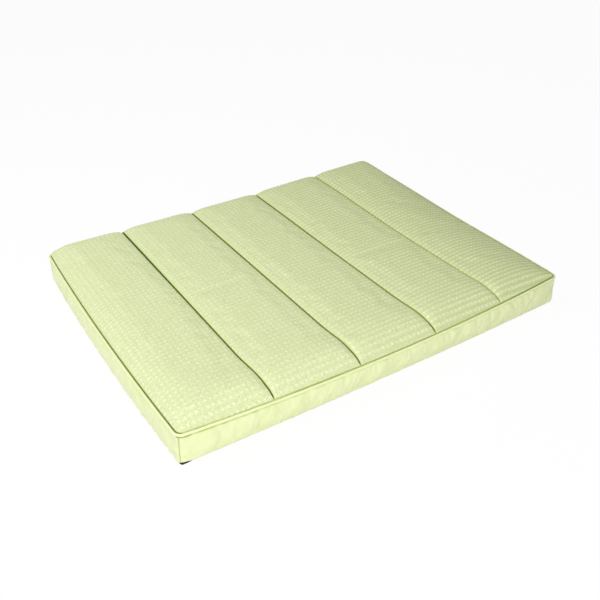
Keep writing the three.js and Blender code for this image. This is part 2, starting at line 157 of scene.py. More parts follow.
# Sizes of the repeated pieces: stitches, coil turns and grip dots
quilting_stitch = {"Pitch": 3.2 * MM, "Length": 2.8 * MM, "Width": 0.6 * MM}
strip_stitch = {"Pitch": 3.0 * MM, "Length": 2.5 * MM, "Width": 0.45 * MM}
coil_turn = {"Pitch": 1.57 * MM, "Width": 2.4 * MM, "Depth": 1.5 * MM, "Wire": 0.28 * MM}
grip_dot, grip_pitch = {"Radius": 2.2 * MM, "Height": 0.3 * MM}, 15 * MM


# Colour and nodes


def linear(hex_colour):
    """An sRGB hex colour as linear RGBA."""
    channels = [int(hex_colour[i : i + 2], 16) / 255 for i in (1, 3, 5)]
    return [c / 12.92 if c <= 0.04045 else ((c + 0.055) / 1.055) ** 2.4 for c in channels] + [1.0]


def node(tree, kind, inputs=None, out=0, **settings):
    """Adds a node, fills its inputs with values or other nodes' outputs, and returns one output."""
    made = tree.nodes.new(kind)
    for name, value in settings.items():
        setattr(made, name, value)
    for name, value in (inputs or {}).items():
        if isinstance(value, bpy.types.NodeSocket):
            tree.links.new(value, made.inputs[name])
        else:
            made.inputs[name].default_value = value
    return made.outputs[out] if len(made.outputs) else None


def new_material(name):
    """An empty material with its node tree, and the place on the object in metres."""
    made = bpy.data.materials.new(name)
    made.use_nodes = True
    made.node_tree.nodes.clear()
    place = node(made.node_tree, "ShaderNodeTexCoord", out="Object")
    return made, made.node_tree, place


def close_material(tree, colour, normal=None, **sockets):
    """A Principled surface with a colour, a bump and constant values for the rest."""
    inputs = {"Base Color": colour}
    if normal is not None:
        inputs["Normal"] = normal
    inputs.update({name.replace("_", " "): value for name, value in sockets.items()})
    surface = node(tree, "ShaderNodeBsdfPrincipled", inputs)
    node(tree, "ShaderNodeOutputMaterial", {"Surface": surface})


def wave_scale(pitch):
    """The Wave texture's scale for bands that repeat at a real pitch."""
    return 2 * math.pi / 20 / pitch


def woven(tree, place, pitch):
    """A plain weave's height: threads that pass over and under each other at a pitch."""
    waves = {"Vector": place, "Scale": wave_scale(pitch)}
    warp = node(tree, "ShaderNodeTexWave", waves, "Fac", bands_direction="X")
    weft = node(tree, "ShaderNodeTexWave", waves, "Fac", bands_direction="Y")
    return node(tree, "ShaderNodeMath", {0: warp, 1: weft}, operation="MULTIPLY")


def painted_crease_shade(tree, colour, halfway, deepest):
    """A cloth's colour with painted shade mixed in where the crease attribute says: first more saturated,
    then dark.
    """
    crease = node(tree, "ShaderNodeAttribute", out="Fac", attribute_name="crease")
    for start, tint in ((0.0, halfway), (0.5, deepest)):
        share = node(tree, "ShaderNodeMapRange", {0: crease, 1: start, 2: start + 0.5})
        shaded_mix = {0: share, 6: colour, 7: linear(tint)}
        colour = node(tree, "ShaderNodeMix", shaded_mix, 2, data_type="RGBA")
    return colour


def follow(tree, pattern, dark, light, relief=0.0, strength=1.0, **sockets):
    """Ends a material whose tint, and whose relief where it has one, follow one pattern."""
    tint = {0: pattern, 6: linear(dark), 7: linear(light)}
    colour = node(tree, "ShaderNodeMix", tint, 2, data_type="RGBA")
    bump = {"Height": pattern, "Distance": relief, "Strength": strength}
    close_material(tree, colour, node(tree, "ShaderNodeBump", bump) if relief else None, **sockets)


# Materials


def embossed_polyester_knit():
    """Cooling polyester knit, heat-embossed with rows of dots: matt and pale, with a painted highlight on
    the top of each dot, painted shade in the grooves between the rows that grows stronger towards the
    right end, and painted shade in the quilting creases. Its loops are drawn at about twice their real
    pitch, so that they show."""
    made, tree, place = new_material("embossed_polyester_knit")
    pitches = {"Vector": place, "Scale": (1 / dot_pitch_x, 1 / dot_pitch_y, 0)}
    points = {"Vector": node(tree, "ShaderNodeMapping", pitches), "Scale": 1.0, "Randomness": 0.0}
    away = node(tree, "ShaderNodeTexVoronoi", points, "Distance", voronoi_dimensions="2D")
    # Painted highlight: the top of each dot is mixed towards near white, more on some dots than others.
    crest_range = {0: away, 1: 0.3, 2: 0.07, 3: 0.0, 4: 0.8}
    crest_highlight = node(tree, "ShaderNodeMapRange", crest_range, interpolation_type="SMOOTHSTEP")
    uneven_highlight = node(tree, "ShaderNodeTexNoise", {"Vector": place, "Scale": 1 / (9 * MM), "Detail": 0.0})
    crest_highlight = node(tree, "ShaderNodeMath", {0: crest_highlight, 1: uneven_highlight}, operation="MULTIPLY")
    # Painted shade: the grooves between the rows of dots are darkened, little at the left end and most at
    # the right end.
    rows = {"Vector": place, "Scale": wave_scale(dot_pitch_y)}
    groove_shade = node(tree, "ShaderNodeTexWave", rows, "Fac", bands_direction="Y")
    across = node(tree, "ShaderNodeSeparateXYZ", {"Vector": place}, "X")
    groove_shade_ramp = {0: across, 1: -half_length / 3, 2: 0.8 * half_length, 3: 0.06, 4: 0.45}
    right_groove_shade = node(tree, "ShaderNodeMapRange", groove_shade_ramp)
    groove_shade = node(tree, "ShaderNodeMath", {0: groove_shade, 1: right_groove_shade}, operation="MULTIPLY")
    patches = node(tree, "ShaderNodeTexNoise", {"Vector": place, "Scale": 1 / (30 * MM)})
    grain = node(tree, "ShaderNodeTexNoise", {"Vector": place, "Scale": 1 / (1.8 * MM), "Detail": 1.0})
    mottle = node(tree, "ShaderNodeMapRange", {0: grain, 1: 0.35, 2: 0.65, 3: 0.0, 4: 0.6})
    # The patches and mottle are the knit's own uneven tone; the third tint is painted shade in the grooves
    # and the last a painted highlight on the dots.
    tints = ((patches, "#e1e8ba"), (mottle, "#bdc88a"), (groove_shade, "#aebb74"), (crest_highlight, "#f3f4e4"))
    colour = linear("#dae2ae")
    for share, tint in tints:
        colour = node(tree, "ShaderNodeMix", {0: share, 6: colour, 7: linear(tint)}, 2, data_type="RGBA")
    # Painted shade in the quilting creases, along the tuck at the rim and along the right end, read from
    # the crease attribute.
    colour = painted_crease_shade(tree, colour, "#8fa834", "#2c4000")
    loops = {"Height": woven(tree, place, 1.1 * MM), "Distance": 0.12 * MM, "Strength": 0.6}
    matt = {"Roughness": 0.8, "Specular_IOR_Level": 0.3, "Sheen_Weight": 0.05}
    close_material(tree, colour, node(tree, "ShaderNodeBump", loops), **matt)
    return made


def satin_polyester():
    """Satin-woven polyester: smoother and yellower than the knit, with a soft sheen on its folds. Its
    fine weave is drawn at about three times its real pitch, so that it shows."""
    made, tree, place = new_material("satin_polyester")
    patches = node(tree, "ShaderNodeTexNoise", {"Vector": place, "Scale": 1 / (28 * MM)})
    threads = woven(tree, node(tree, "ShaderNodeUVMap", uv_map="cloth"), 0.6 * MM)
    weave = node(tree, "ShaderNodeMath", {0: threads, 1: 0.16}, operation="MULTIPLY")
    colour = linear("#dbe5a8")
    for share, tint in ((patches, "#eaedc1"), (weave, "#c9d490")):
        colour = node(tree, "ShaderNodeMix", {0: share, 6: colour, 7: linear(tint)}, 2, data_type="RGBA")
    # Painted shade under the corded edge and beside the end seams, read from the crease attribute.
    colour = painted_crease_shade(tree, colour, "#a3b548", "#46580a")
    normal = node(tree, "ShaderNodeBump", {"Height": threads, "Distance": 0.03 * MM, "Strength": 0.5})
    close_material(tree, colour, normal, Roughness=0.55, Sheen_Weight=0.2, Sheen_Roughness=0.35)
    return made


def coated_oxford_nylon():
    """Black Oxford-woven nylon with a polyurethane coat: dull black with a visible basket weave."""
    made, tree, place = new_material("coated_oxford_nylon")
    follow(tree, woven(tree, place, 0.9 * MM), "#0c0d0f", "#1e2023", 0.06 * MM, Roughness=0.8)
    return made


def plied(name, dark, light, pitch, relief, roughness):
    """Twisted thread, cord or herringbone tape: slanting turns that catch the light."""
    made, tree, place = new_material(name)
    turns = {"Vector": place, "Scale": wave_scale(pitch), "Distortion": 0.6, "Detail": 1.0}
    plies = node(tree, "ShaderNodeTexWave", turns, "Fac", bands_direction="DIAGONAL")
    follow(tree, plies, dark, light, relief, Roughness=roughness, Sheen_Weight=0.05)
    return made


def grained(name, dark, light, size, relief=0.0, strength=1.0, detail=2.0, cells=False, **sockets):
    """A finish with a grain of a real size, either cloudy or in cells."""
    made, tree, place = new_material(name)
    kind = "ShaderNodeTexVoronoi" if cells else "ShaderNodeTexNoise"
    grain = node(tree, kind, {"Vector": place, "Scale": 1 / size, "Detail": detail})
    follow(tree, grain, dark, light, relief, strength, **sockets)
    return made


knit = embossed_polyester_knit()
satin = satin_polyester()
oxford = coated_oxford_nylon()

# Twisted polyester sewing thread, dark in the quilting and pale in the topstitching
seam_thread = plied("twisted_polyester_dark", "#3d4c18", "#5b6c2a", 0.8 * MM, 0.05 * MM, 0.6)
pale_thread = plied("twisted_polyester_pale", "#b4c27c", "#ced99a", 0.8 * MM, 0.05 * MM, 0.6)
# Herringbone-woven polyester tape: flat, with slanting ribs
tape_cloth = plied("herringbone_tape", "#b9c884", "#cfdb9e", 1.2 * MM, 0.08 * MM, 0.75)
# Twisted cotton cord: off-white, matt, with coarse turns
cotton = plied("twisted_cotton", "#d9d2be", "#f0ebdc", 2.5 * MM, 0.3 * MM, 0.9)

# Screen-printed PVC grip dots: dark grey, softly shiny, faintly grainy
grip_rubber = grained("printed_grip_rubber", "#17181a", "#26282b", 0.6 * MM, 0.02 * MM, Roughness=0.55)
# Dyed nylon monofilament of the zip's coil: smooth, a little glossy, uneven where it is bent
coil_nylon = grained("dyed_nylon", "#bccb86", "#cdd99c", 2 * MM, Roughness=0.35, IOR=1.53)
# Die-cast zinc with a baked lacquer in the cloth's colour: smooth with faint orange peel
lacquer = {"Roughness": 0.32, "Coat_Weight": 0.5, "Coat_Roughness": 0.15}
zinc = grained("lacquered_zinc", "#9fb15f", "#aebf70", 0.9 * MM, 0.02 * MM, 0.4, **lacquer)
# Cut polyurethane foam: cream, matt, pitted with open cells
pitted = {"detail": 0.0, "cells": True, "Roughness": 0.95}
foam = grained("open_cell_foam", "#d8cfae", "#f3edd6", 1.8 * MM, 0.4 * MM, **pitted)
# Needle-punched polyester fleece: white, matt and fluffy
fluffy = {"detail": 6.0, "Roughness": 0.95, "Sheen_Weight": 0.4}
fleece = grained("needled_fleece", "#dedfdb", "#fafaf8", 2.5 * MM, 0.5 * MM, **fluffy)
# Clear cast polyurethane film of the gel pouch: glossy and slightly hazy
hazy = {"Roughness": 0.2, "IOR": 1.5, "Transmission_Weight": 0.6, "Alpha": 0.75}
clear_film = grained("cast_clear_film", "#dbe7ee", "#eef4f7", 12 * MM, **hazy)
# Soft polymer gel poured into its pouch: clear light blue, wet-looking, cloudy in places
wet = {"Roughness": 0.12, "IOR": 1.4, "Transmission_Weight": 0.5}
gel = grained("poured_blue_gel", "#6fb2d2", "#93cbe2", 20 * MM, **wet)


# Mesh helpers


def eased(share):
    """A share held between 0 and 1 and eased at both ends."""
    share = np.clip(share, 0, 1)
    return share * share * (3 - 2 * share)


def fading(away, reach):
    """1 at a place, and fading out over a distance from it."""
    return np.exp(-((away / reach) ** 2))


def fuller_corner(points):
    """Moves points up and out towards the back right corner, more the higher they lie."""
    points = np.array(points, float)
    x, y, z = points[..., 0], points[..., 1], points[..., 2]
    share = eased((x - full_from_x) / (half_length - full_from_x))
    share = share * eased((y - full_from_y) / (half_depth - full_from_y))
    share = share * eased((z - full_above) / (rim_top - full_above))
    return points + share[..., None] * np.array([full_out, 0, full_up])


def put(name, data):
    """An object in the scene for a mesh, a lamp or a camera."""
    made = bpy.data.objects.new(name, data)
    bpy.context.scene.collection.objects.link(made)
    return made


def add_mesh(name, vertices, faces, finish):
    """A smooth-shaded mesh object at the origin, its place in its vertices."""
    mesh = bpy.data.meshes.new(name)
    mesh.from_pydata(fuller_corner(vertices).tolist(), [], [list(face) for face in faces])
    mesh.polygons.foreach_set("use_smooth", [True] * len(mesh.polygons))
    mesh.materials.append(finish)
    return put(name, mesh)


def hold(made, body, slot, *replaced):
    """The piece rides on a body and stands for CAD nodes, which it hides. The slot is not used."""
    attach(made, body)
    if replaced:
        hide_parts(*replaced)
    return made


def numbered(rows, columns, start=0):
    """The numbers of a sheet's points, laid out as the sheet is."""
    return start + np.arange(rows * columns).reshape(rows, columns)


def grid_faces(rows, columns):
    """Quads of a sheet of points, facing up where rows run back and columns run right."""
    index = numbered(rows, columns)
    corners = (index[:-1, :-1], index[:-1, 1:], index[1:, 1:], index[1:, :-1])
    return np.stack(corners, -1).reshape(-1, 4)


def lay_cloth(made, places):
    """Gives each vertex its place on the flat cloth, in metres."""
    mesh = made.data
    corner_vertices = np.zeros(len(mesh.loops), int)
    mesh.loops.foreach_get("vertex_index", corner_vertices)
    layer = mesh.uv_layers.new(name="cloth")
    layer.data.foreach_set("uv", np.asarray(places)[corner_vertices].astype(np.float32).ravel())


def paint_shade(made, values):
    """Gives each vertex its share of painted shade, from 0 to 1, as the crease attribute."""
    layer = made.data.attributes.new("crease", "FLOAT", "POINT")
    layer.data.foreach_set("value", np.asarray(values, np.float32).ravel())


def shell(name, outer, inner, finish, cloth, crease):
    """A closed shell between two sheets of points of the same size."""
    rows, columns = outer.shape[:2]
    index = numbered(rows, columns)
    ring = np.concatenate([index[0, :-1], index[:-1, -1], index[-1, :0:-1], index[:0:-1, 0]])
    after = np.roll(ring, -1)
    faces = grid_faces(rows, columns)
    walls = np.stack([ring, ring + index.size, after + index.size, after], -1)
    everything = np.concatenate([faces, faces[:, ::-1] + index.size, walls])
    vertices = np.concatenate([outer.reshape(-1, 3), inner.reshape(-1, 3)])
    made = add_mesh(name, vertices, everything, finish)
    lay_cloth(made, np.tile(cloth.reshape(-1, 2), (2, 1)))
    # The crease values are painted shade, kept on both sheets.
    paint_shade(made, np.tile(crease.ravel(), 2))
    return made


def loop_tube(name, rings, finish, travel):
    """A closed tube through rings of points, joined end to start. Each ring runs anticlockwise."""
    count, sides = rings.shape[:2]
    index = numbered(count, sides)
    after, beside = np.roll(index, -1, 0), np.roll(index, -1, 1)
    faces = np.stack([index, after, np.roll(after, -1, 1), beside], -1).reshape(-1, 4)
    made = add_mesh(name, rings.reshape(-1, 3), faces, finish)
    around = np.arange(sides) / sides * 2 * math.pi * piping_radius
    lay_cloth(made, np.stack(np.meshgrid(travel, around, indexing="ij"), -1).reshape(-1, 2))
    return made


def closed_sheet(name, outer, inner, under_rows, under_columns, finish):
    """A fine upper sheet closed with a coarser underside, whose rows and columns are some of its own."""
    rows, columns = outer.shape[:2]
    index = numbered(rows, columns)
    under = numbered(*inner.shape[:2], index.size)
    faces = grid_faces(rows, columns).tolist()
    faces += (grid_faces(*under.shape)[:, ::-1] + index.size).tolist()
    sides = (
        (index[0], under[0], under_columns),
        (index[:, -1], under[:, -1], under_rows),
        (index[-1][::-1], under[-1][::-1], (columns - 1 - under_columns)[::-1]),
        (index[::-1, 0], under[::-1, 0], (rows - 1 - under_rows)[::-1]),
    )
    for fine, coarse, places in sides:
        for k, (first, last) in enumerate(zip(places[:-1], places[1:])):
            middle = (first + last) // 2
            for i in range(first, last):
                faces.append([fine[i + 1], fine[i], coarse[k if i < middle else k + 1]])
            faces.append([fine[middle], coarse[k], coarse[k + 1]])
    vertices = np.concatenate([outer.reshape(-1, 3), inner.reshape(-1, 3)])
    return add_mesh(name, vertices, faces, finish)


# The outline. A station runs from 0 to 8 round the mat: front side, corner, right side, corner, on to
# the corner at the front left


def share_up(height):
    """A height as a share of the bands' height."""
    return (height - band_bottom) / band_tall


def split(stations):
    """The side or corner that each station lies on, and its share of the way along it."""
    stations = np.asarray(stations, float) % 8
    segment = np.floor(stations).astype(int)
    return stations, segment, stations - segment


def corner_size(up):
    """The corner's radius at a share of the height up from the base."""
    return base_corner_radius + (corner_radius - base_corner_radius) * up


def outline(stations, up):
    """Places on the bands' outer face at stations, at a share of the height up from the base."""
    stations, segment, share = split(stations)
    radius = corner_size(up)
    bow = {0: front_base_bow + (front_bow - front_base_bow) * up, 2: end_bow, 4: 0.0, 6: end_bow}
    xs, ys = np.zeros(len(stations)), np.zeros(len(stations))
    for side, (out_x, out_y) in {0: (0, -1), 2: (1, 0), 4: (0, 1), 6: (-1, 0)}.items():
        here = segment == side
        reach = (half_depth if out_x else half_length) - radius
        along = 2 * share[here] - 1
        away = (half_length if out_x else half_depth) + bow[side] * (1 - along**2)
        xs[here] = out_x * away - out_y * along * reach
        ys[here] = out_y * away + out_x * along * reach
    corners = {1: (1, -1, -0.5), 3: (1, 1, 0.0), 5: (-1, 1, 0.5), 7: (-1, -1, 1.0)}
    for corner, (sign_x, sign_y, start) in corners.items():
        here = segment == corner
        angle = (start + share[here] / 2) * math.pi
        xs[here] = sign_x * (half_length - radius) + radius * np.cos(angle)
        ys[here] = sign_y * (half_depth - radius) + radius * np.sin(angle)
    return np.stack([xs, ys], -1)


def outward(stations, up):
    """The unit directions out of the outline at stations."""
    step = 1e-3
    ahead = outline(np.asarray(stations) + step, up) - outline(np.asarray(stations) - step, up)
    ahead /= np.linalg.norm(ahead, axis=1)[:, None]
    return np.stack([ahead[:, 1], -ahead[:, 0]], -1)


def plumb(stations, up):
    """The stations at a lower height that lie straight below those at the corded edge."""
    stations, segment, share = split(stations)
    radius = corner_size(up)
    spare = {}
    for side in (0, 2, 4, 6):
        reach = half_depth if side in (2, 6) else half_length
        spare[side] = 0.5 - 0.5 * (reach - corner_radius) / (reach - radius)
    placed = stations.copy()
    for side in (0, 2, 4, 6):
        here = segment == side
        placed[here] = side + 0.5 + (share[here] - 0.5) * (1 - 2 * spare[side])
    for corner in (1, 3, 5, 7):
        here = segment == corner
        before, after = spare[corner - 1], spare[(corner + 1) % 8]
        placed[here] = corner - before + share[here] * (1 + before + after)
    return placed


def spaced_stations(first, last, spacing):
    """Stations between two, about evenly spaced along the corded edge, and the distance travelled."""
    fine = np.linspace(first, last, 4001)
    steps = np.linalg.norm(np.diff(outline(fine, 1.0), axis=0), axis=1)
    travel = np.concatenate([[0], np.cumsum(steps)])
    wanted = np.linspace(0, travel[-1], max(2, int(round(travel[-1] / spacing)) + 1))
    return np.interp(wanted, travel, fine), wanted


def sag(stations):
    """How far the corded edge hangs down at stations: most in the middle of the front."""
    nearest = (np.asarray(stations, float) + 4) % 8 - 4
    return front_sag * np.clip(1 - (2 * nearest - 1) ** 2, 0, 1)


def ripple(along, across, seed, size):
    """A smooth, uneven wave field from about -1 to 1 for puckers, the same on each run."""
    random = np.random.default_rng(seed)
    total = np.zeros(np.broadcast(along, across).shape)
    for _ in range(9):
        length = size * random.uniform(0.6, 1.7)
        slant = random.uniform(-0.5, 0.5)
        phase = random.uniform(0, 2 * math.pi)
        total = total + np.sin(2 * math.pi * (along + slant * across) / length + phase)
    return total / 4


# Cloth simulation of the padded pieces


def cubic_weights(coarse, fine):
    """Weights that carry values from evenly spaced places to others along a smooth curve."""
    spacing = coarse[1] - coarse[0]
    place = np.clip((fine - coarse[0]) / spacing, 0, len(coarse) - 1 - 1e-9)
    cell = np.floor(place).astype(int)
    t = place - cell
    before, after = -0.5 * t + t**2 - 0.5 * t**3, 0.5 * t + 2 * t**2 - 1.5 * t**3
    here, beyond = 1 - 2.5 * t**2 + 1.5 * t**3, -0.5 * t**2 + 0.5 * t**3
    weights = np.zeros((len(fine), len(coarse)))
    for step, share in ((-1, before), (0, here), (1, after), (2, beyond)):
        np.add.at(weights, (np.arange(len(fine)), np.clip(cell + step, 0, len(coarse) - 1)), share)
    return weights


def corners_of(mesh):
    """A mesh's vertices as an array of places."""
    flat = np.empty(len(mesh.vertices) * 3, np.float32)
    mesh.vertices.foreach_get("co", flat)
    return flat.reshape(-1, 3).astype(float)


def relaxed(points, pinned, slack, pressure, cap, frames=20):
    """How far each point of a sheet moves when its stuffing blows it up between the pinned seams."""
    rows, columns = points.shape[:2]
    made = add_mesh("cloth_to_relax", points.reshape(-1, 3), grid_faces(rows, columns), satin)
    group = made.vertex_groups.new(name="pinned")
    group.add(np.flatnonzero(pinned.ravel()).tolist(), 1.0, "REPLACE")
    cloth = made.modifiers.new("cloth", "CLOTH")
    settings = {
        "quality": 6,
        "mass": 0.25,
        "tension_stiffness": 25,
        "compression_stiffness": 25,
        "shear_stiffness": 8,
        "bending_stiffness": 0.4,
        "air_damping": 4,
        "vertex_group_mass": "pinned",
        "shrink_min": -slack,
        "use_pressure": True,
        "uniform_pressure_force": pressure,
    }
    for name, value in settings.items():
        setattr(cloth.settings, name, value)
    cloth.settings.effector_weights.gravity = 0
    cloth.collision_settings.use_collision = False
    cloth.point_cache.frame_start = 1
    cloth.point_cache.frame_end = frames
    for number in range(1, frames + 1):
        bpy.context.scene.frame_set(number)
    evaluated = made.evaluated_get(bpy.context.evaluated_depsgraph_get())
    shift = corners_of(evaluated.to_mesh()) - corners_of(made.data)
    evaluated.to_mesh_clear()
    bpy.context.scene.frame_set(1)
    mesh = made.data
    bpy.data.objects.remove(made)
    bpy.data.meshes.remove(mesh)
    length = np.linalg.norm(shift, axis=1)[:, None]
    return (shift * np.minimum(1, cap / np.maximum(length, 1e-9))).reshape(points.shape)


def carried(shift, coarse_rows, coarse_columns, rows, columns):
    """The shift of a coarse sheet's points, carried over to a finer sheet."""
    down, across = cubic_weights(coarse_rows, rows), cubic_weights(coarse_columns, columns)
    return np.einsum("ij,jkc,lk->ilc", down, shift, across)


# The quilted top, on a flat rectangle of places u along and v across the mat


def rise(inset, width, power):
    """From 0 at the rim to 1 at a width in from it, rounded like a stuffed edge."""
    return 1 - (1 - np.clip(inset / width, 0, 1)) ** power


rim_half_length = half_length - rim_inset
rim_half_depth = half_depth - rim_inset
rim_radius = corner_radius - rim_inset


def rim_rise(u, v):
    """How far the top has risen from its rim: 0 there, 1 on the flat middle. It rises fast at the back
    and at the back right corner, and slowly at the front right."""
    to_back = eased((v - right_roll_turn) / (rim_half_depth - right_roll_turn))
    right_roll = right_roll_front + (right_roll_back - right_roll_front) * to_back
    across = rise(rim_half_length + u, edge_roll, roll_power)
    across = np.maximum(across * rise(rim_half_length - u, right_roll, roll_power), 1e-6)
    along = rise(rim_half_depth + v, edge_roll, roll_power)
    along = np.maximum(along * rise(rim_half_depth - v, back_roll, roll_power), 1e-6)
    return (across**-roll_join + along**-roll_join - 1) ** (-1 / roll_join)


def back_share(v):
    """0 at the front of the top and 1 at its back."""
    return eased(0.5 + 0.5 * v / rim_half_depth)


def seam_distance(u):
    """The distance to the nearest quilting seam."""
    return np.min([np.abs(u - x) for x in seam_xs], axis=0)


def seam_nearness(u):
    """0 in the middle of a channel and beyond, 1 on a seam."""
    return np.clip(1 - seam_distance(u) / (channel_width / 2), 0, 1)


def quilt_height(u, v):
    """The height of the quilted top, without its embossing."""
    seam_depth = seam_depth_front + (seam_depth_back - seam_depth_front) * back_share(v)
    near_back = eased(2 * v / rim_half_depth - 1)
    tightness = seam_nearness(u) ** (crown_power + (crown_power_back - crown_power) * near_back)
    dip = seam_depth * tightness
    front_pull = fading(rim_half_depth + v - front_pull_inset, front_pull_width)
    dip = dip + front_pull_depth * front_pull * tightness
    return rim_top + rim_rise(u, v) * (crown_top - rim_top - dip)


def quilt_plan(u, v):
    """Where a place of the flat rectangle lies in plan: round corners, bowed sides, and seams that
    drift a little to the left away from the front, as sewn cloth does."""
    x, y = u.copy(), v.copy()
    a = np.clip((np.abs(u) - (rim_half_length - rim_radius)) / rim_radius, 0, 1)
    b = np.clip((np.abs(v) - (rim_half_depth - rim_radius)) / rim_radius, 0, 1)
    corner = (a > 0) & (b > 0)
    x[corner] -= (np.sign(u) * rim_radius * a * (1 - np.sqrt(1 - b**2 / 2)))[corner]
    y[corner] -= (np.sign(v) * rim_radius * b * (1 - np.sqrt(1 - a**2 / 2)))[corner]
    front = front_bow * (1 - np.clip(np.abs(x) / (half_length - corner_radius), 0, 1) ** 2)
    end = end_bow * (1 - np.clip(np.abs(y) / (half_depth - corner_radius), 0, 1) ** 2)
    last_seam = max(seam_xs)
    beyond = np.clip((np.abs(u) - last_seam) / (rim_half_length - last_seam), 0, 1)
    drift = seam_drift * eased((v + rim_half_depth) / seam_drift_length)
    x = x - drift * (1 - np.clip(np.abs(u) / rim_half_length, 0, 1) ** 4)
    return x + np.sign(u) * end * beyond, y - front * np.clip(-v / rim_half_depth, 0, 1)


def front_hang(x, v):
    """How far the top's front edge hangs with the corded edge."""
    return front_sag * np.clip(1 - (x / half_length) ** 2, 0, 1) * np.clip(-v / rim_half_depth, 0, 1) ** 8


def top_swell(us, vs):
    """How far the top's points move in the simulation, pinned at its rim and its quilting seams."""
    coarse_u = np.linspace(-rim_half_length, rim_half_length, 116)
    coarse_v = np.linspace(-rim_half_depth, rim_half_depth, 90)
    u, v = np.meshgrid(coarse_u, coarse_v)
    x, y = quilt_plan(u, v)
    points = np.stack([x, y, quilt_height(u, v) - front_hang(x, v)], -1)
    pinned = (np.abs(u) > rim_half_length - MM) | (np.abs(v) > rim_half_depth - MM)
    for seam in seam_xs:
        pinned[:, np.argmin(np.abs(coarse_u - seam))] = True
    shift = relaxed(points, pinned, slack=0.003, pressure=0.6, cap=2.5 * MM)
    shift[..., 2] = np.maximum(shift[..., 2], 0)
    return carried(shift, coarse_v, coarse_u, vs, us)


def crease_start(inset):
    """From 0 at the rim to 1 where a crease has its full depth."""
    return rise(inset, 5 * MM, 1.5)


def mesh_lines(half, pitch, seams=()):
    """Lines of the top's mesh across one way: four to a dot, and more at the seams and the rim."""
    count = int(half / (pitch / 4))
    lines = np.arange(-count, count + 1) * (pitch / 4)
    for seam in seams:
        lines = lines[np.abs(lines - seam) > 2.4 * MM]
        lines = np.concatenate([lines, [seam], seam + beside_seam, seam - beside_seam])
    lines = lines[np.abs(lines) < half - 2.2 * MM]
    return np.sort(np.concatenate([lines, half - rim_steps, rim_steps - half]))


def under_lines(lines):
    """The places of each fourth line of the top's mesh and of its last one."""
    return np.unique(np.append(np.arange(0, len(lines), under_step), len(lines) - 1))


def embossing(x, y, inset, apart):
    """The height of the dots, which fade out at the rim and beside the seams."""
    off_x = x - np.round(x / dot_pitch_x) * dot_pitch_x
    off_y = y - np.round(y / dot_pitch_y) * dot_pitch_y
    dots = np.exp(-(off_x**2 + off_y**2) / dot_radius**2) * rise(inset, 4 * MM, 1)
    return dot_height * (dots * np.clip((apart - 1.0 * MM) / (3 * MM), 0, 1))


def quilt_shade(u, v, inset, at_left, tuck):
    """How deep in shade the top is: on its seams most at the back left, in the tuck along its rim most
    at the left and least at the left half of the front, and along its right end."""
    at_first_seam = 1 - eased((u - seam_xs[0]) / channel_width)
    width = crease_width * (1 + back_share(v) * (wider_at_back + wider_at_first_seam * at_first_seam))
    depth = seam_shade - seam_shade_less_right * eased((u - right_from) / right_change)
    on_seam = depth * fading(seam_distance(u), width) * crease_start(inset)
    at_front = np.clip((rim_half_length - np.abs(u) - rim_half_depth - v) / corner_change, 0, 1)
    less = front_shade_less * (1 - eased((u - 0.4 * half_length) / (0.5 * half_length)))
    less = less + front_shade_less_left * (1 - eased((u - seam_xs[0]) / (40 * MM)))
    in_tuck = (tuck_shade + tuck_shade_more_left * at_left - at_front * less) * tuck
    at_right = fading(rim_half_length - u, end_shade_reach)
    return np.clip(np.maximum(on_seam + in_tuck, at_right), 0, 1)


def top_panel():
    """The quilted top: five crowned channels, tight creases along the seams and rows of dots."""
    us = mesh_lines(rim_half_length, dot_pitch_x, seam_xs)
    vs = mesh_lines(rim_half_depth, dot_pitch_y)
    u, v = np.meshgrid(us, vs)
    swell = top_swell(us, vs)
    x, y = quilt_plan(u, v)
    inset = np.minimum(rim_half_length - np.abs(u), rim_half_depth - np.abs(v))
    apart = seam_distance(u)
    crease = fading(apart, crease_width) * crease_start(inset)
    at_left = np.clip((rim_half_depth - np.abs(v) - rim_half_length - u) / corner_change, 0, 1)
    tuck = fading(inset, tuck_width + tuck_width_more_left * at_left)
    z = quilt_height(u, v) + embossing(x, y, inset, apart) - crease_depth * crease - tuck_depth * tuck
    outer = np.stack([x, y, z - front_hang(x, v)], -1) + swell
    under_rows, under_columns = under_lines(vs), under_lines(us)
    inner = outer[np.ix_(under_rows, under_columns)].copy()
    inner[..., 2] -= fabric_thickness
    made = closed_sheet("quilted_top", outer, inner, under_rows, under_columns, knit)
    # Painted shade along the seams, in the tuck at the rim and along the right end; the underside has
    # none.
    shade = quilt_shade(u, v, inset, at_left, tuck).ravel()
    paint_shade(made, np.concatenate([shade, np.zeros(inner[..., 0].size)]))
    return made


# Side bands


def front_left(place):
    """1 at the left end of the front, 0 away from it."""
    away = np.hypot((place[:, 0] + half_length - short_reach) / 1.3, place[:, 1] + half_depth)
    return fading(away, short_reach)


def under_cord(place):
    """How deep the seam under the corded edge lies in shade: most at the left end of the front."""
    at_front = place[:, 1] < -half_depth + corner_radius / 2
    return 0.08 + 0.85 * at_front * np.exp(-(place[:, 0] + half_length) / (110 * MM))


def bulge_at(travel, whole, up):
    """The share of a band's bulge at a height and a distance from its end: little at the corners."""
    from_corner = np.minimum(travel, whole - travel)
    return math.sin(math.pi * up) * (0.2 + 0.8 * eased(from_corner / (70 * MM)))


def band_swell(stations, travel, heights, bulge, travel_wanted, heights_wanted):
    """How far a band's points move in the simulation, pinned all round where it is sewn."""
    rows = []
    for z in heights:
        up = share_up(z)
        placed = plumb(stations, up)
        stand = bulge * bulge_at(travel, travel[-1], up)
        spot = outline(placed, up) + outward(placed, up) * stand[:, None]
        rows.append(np.column_stack([spot, np.full(len(travel), z)]))
    points = np.array(rows)
    pinned = np.zeros(points.shape[:2], bool)
    pinned[[0, -1]] = True
    pinned[:, [0, -1]] = True
    shift = relaxed(points, pinned, slack=0.013, pressure=1.5, cap=4 * MM)
    return carried(shift, heights, travel, heights_wanted, travel_wanted)


